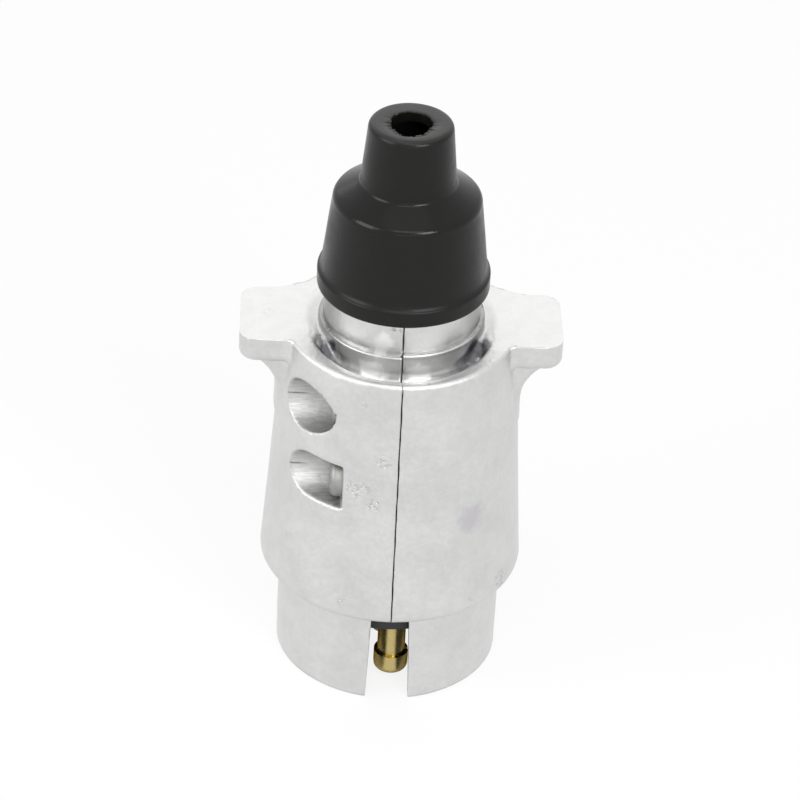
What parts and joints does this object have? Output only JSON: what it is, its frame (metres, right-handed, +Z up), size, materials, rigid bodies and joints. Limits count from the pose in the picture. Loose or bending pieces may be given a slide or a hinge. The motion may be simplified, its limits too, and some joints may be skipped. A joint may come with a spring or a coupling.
{
  "type": "trailer plug",
  "caption": "Round trailer plug with two die-cast halves, pull ears, brass contacts on a ring and in the middle, and a soft cable boot.",
  "frame": {"origin": "centre of the nose rim, on the surface the plug stands on", "axes": "+Z up along the plug from the nose to the cable end, -Y through the key slot, the ears along X and the seam of the casting at X = 0"},
  "size_m": [0.0546, 0.0456, 0.1052],
  "materials": {
    "cast_alloy": "bright die-cast, lightly tumbled",
    "boot_rubber": "satin moulded rubber",
    "carrier_plastic": "matt moulded plastic",
    "contact_brass": "turned",
    "screw_steel": "bright plated"
  },
  "bodies": {
    "root": {"left_shell": "cast_alloy", "right_shell": "cast_alloy", "cable_boot": "boot_rubber", "pin_carrier": "carrier_plastic", "pin_1": "contact_brass", "pin_2": "contact_brass", "pin_3": "contact_brass", "pin_4": "contact_brass", "pin_5": "contact_brass", "pin_6": "contact_brass", "pin_7": "contact_brass", "terminal_screw_1": "screw_steel", "terminal_screw_2": "screw_steel", "terminal_screw_3": "screw_steel", "terminal_screw_4": "screw_steel", "terminal_screw_5": "screw_steel", "terminal_screw_6": "screw_steel", "terminal_screw_7": "screw_steel", "screw_front_upper": "screw_steel", "screw_front_lower": "screw_steel", "screw_back_upper": "screw_steel", "screw_back_lower": "screw_steel"}
  },
  "joints": []
}
